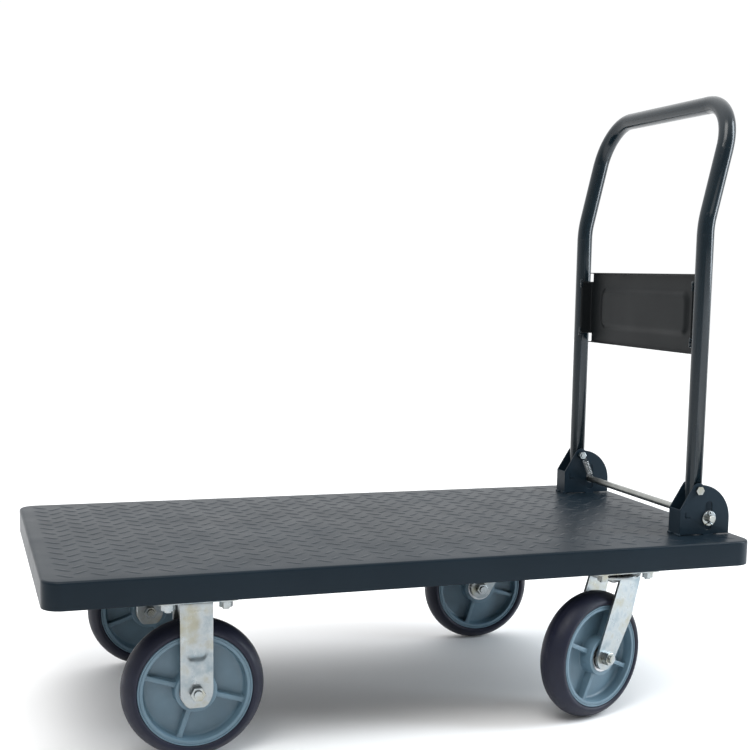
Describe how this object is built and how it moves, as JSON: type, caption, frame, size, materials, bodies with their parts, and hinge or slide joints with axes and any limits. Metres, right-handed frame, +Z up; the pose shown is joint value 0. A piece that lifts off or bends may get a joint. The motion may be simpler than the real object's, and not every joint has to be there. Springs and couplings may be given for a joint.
{
  "type": "folding platform cart",
  "caption": "Flat steel platform cart on fixed and swivel rubber-tyred casters, with a tubular push handle that unlocks and folds flat over the deck.",
  "frame": {"origin": "on the floor under the middle of the deck", "axes": "+X towards the handle end, +Y towards the far side, +Z up"},
  "size_m": [1.1, 0.6067, 0.9983],
  "materials": {
    "deck_paint": "satin powder coat",
    "tube_paint": "gloss powder coat",
    "panel_paint": "satin powder coat",
    "zinc_sheet": "bright zinc plate, slightly cloudy",
    "zinc_fastener": "bright zinc plate",
    "spring_steel": "bright wire",
    "rod_steel": "drawn steel bar",
    "bearing_steel": "ground steel",
    "tyre_rubber": "smooth moulded rubber",
    "core_plastic": "moulded, satin"
  },
  "bodies": {
    "chassis": {"deck": "deck_paint", "cross_channel_fixed": "deck_paint", "cross_channel_swivel": "deck_paint", "stiffener_near": "deck_paint", "stiffener_middle": "deck_paint", "stiffener_far": "deck_paint", "bracket_near": "deck_paint", "bracket_far": "deck_paint", "pivot_bolts": "zinc_fastener", "pivot_nuts": "zinc_fastener", "spring_near": "spring_steel", "spring_far": "spring_steel", "fixed_plate_near": "zinc_sheet", "fixed_plate_far": "zinc_sheet", "swivel_plate_near": "zinc_sheet", "swivel_plate_far": "zinc_sheet", "caster_bolts": "zinc_fastener", "caster_washers": "zinc_fastener", "caster_nuts": "zinc_fastener", "fixed_fork_near": "zinc_sheet", "fixed_fork_far": "zinc_sheet", "fixed_axle_bolts": "zinc_fastener", "fixed_axle_nuts": "zinc_fastener", "fixed_sleeve_near": "bearing_steel", "fixed_sleeve_far": "bearing_steel", "swivel_balls_near": "bearing_steel", "swivel_balls_far": "bearing_steel", "king_pins": "bearing_steel", "king_caps": "zinc_sheet"},
    "handle": {"handle_tube": "tube_paint", "handle_panel": "panel_paint", "pivot_bushes": "zinc_fastener"},
    "lock": {"lock_rod": "rod_steel", "lock_rod_washers": "zinc_fastener", "cotter_pins": "zinc_fastener"},
    "caster_swivel_near": {"swivel_fork_near": "zinc_sheet", "swivel_axle_bolt_near": "zinc_fastener", "swivel_axle_nut_near": "zinc_fastener", "swivel_sleeve_near": "bearing_steel"},
    "caster_swivel_far": {"swivel_fork_far": "zinc_sheet", "swivel_axle_bolt_far": "zinc_fastener", "swivel_axle_nut_far": "zinc_fastener", "swivel_sleeve_far": "bearing_steel"},
    "wheel_fixed_near": {"tyre_fixed_near": "tyre_rubber", "core_fixed_near": "core_plastic", "bearings_fixed_near": "bearing_steel"},
    "wheel_fixed_far": {"tyre_fixed_far": "tyre_rubber", "core_fixed_far": "core_plastic", "bearings_fixed_far": "bearing_steel"},
    "wheel_swivel_near": {"tyre_swivel_near": "tyre_rubber", "core_swivel_near": "core_plastic", "bearings_swivel_near": "bearing_steel"},
    "wheel_swivel_far": {"tyre_swivel_far": "tyre_rubber", "core_swivel_far": "core_plastic", "bearings_swivel_far": "bearing_steel"}
  },
  "joints": [
    {"name": "handle_fold", "type": "hinge", "parent": "chassis", "child": "handle", "pos_m": [0.4815, 0, 0.3545], "axis": [0, -1, 0], "range_deg": [0, 90]},
    {"name": "lock_slide", "type": "slide", "parent": "chassis", "child": "lock", "axis": [0, 0, 1], "range_m": [-0.0136, 0.0209], "stiffness_N_per_m": 1500, "springref_m": 0.0045, "deforming": ["spring_near", "spring_far"]},
    {"name": "swivel_near", "type": "hinge", "parent": "chassis", "child": "caster_swivel_near", "pos_m": [0.331, -0.234, 0.2], "axis": [0, 0, 1], "continuous": true},
    {"name": "swivel_far", "type": "hinge", "parent": "chassis", "child": "caster_swivel_far", "pos_m": [0.331, 0.234, 0.2], "axis": [0, 0, 1], "continuous": true},
    {"name": "wheel_fixed_near_spin", "type": "hinge", "parent": "chassis", "child": "wheel_fixed_near", "pos_m": [-0.342, -0.234, 0.1016], "axis": [0, -1, 0], "continuous": true},
    {"name": "wheel_fixed_far_spin", "type": "hinge", "parent": "chassis", "child": "wheel_fixed_far", "pos_m": [-0.342, 0.234, 0.1016], "axis": [0, -1, 0], "continuous": true},
    {"name": "wheel_swivel_near_spin", "type": "hinge", "parent": "caster_swivel_near", "child": "wheel_swivel_near", "pos_m": [0.28432, -0.25192, 0.1016], "axis": [0.3584, -0.9336, 0], "continuous": true},
    {"name": "wheel_swivel_far_spin", "type": "hinge", "parent": "caster_swivel_far", "child": "wheel_swivel_far", "pos_m": [0.28103, 0.23575, 0.1016], "axis": [-0.0349, -0.9994, 0], "continuous": true}
  ]
}
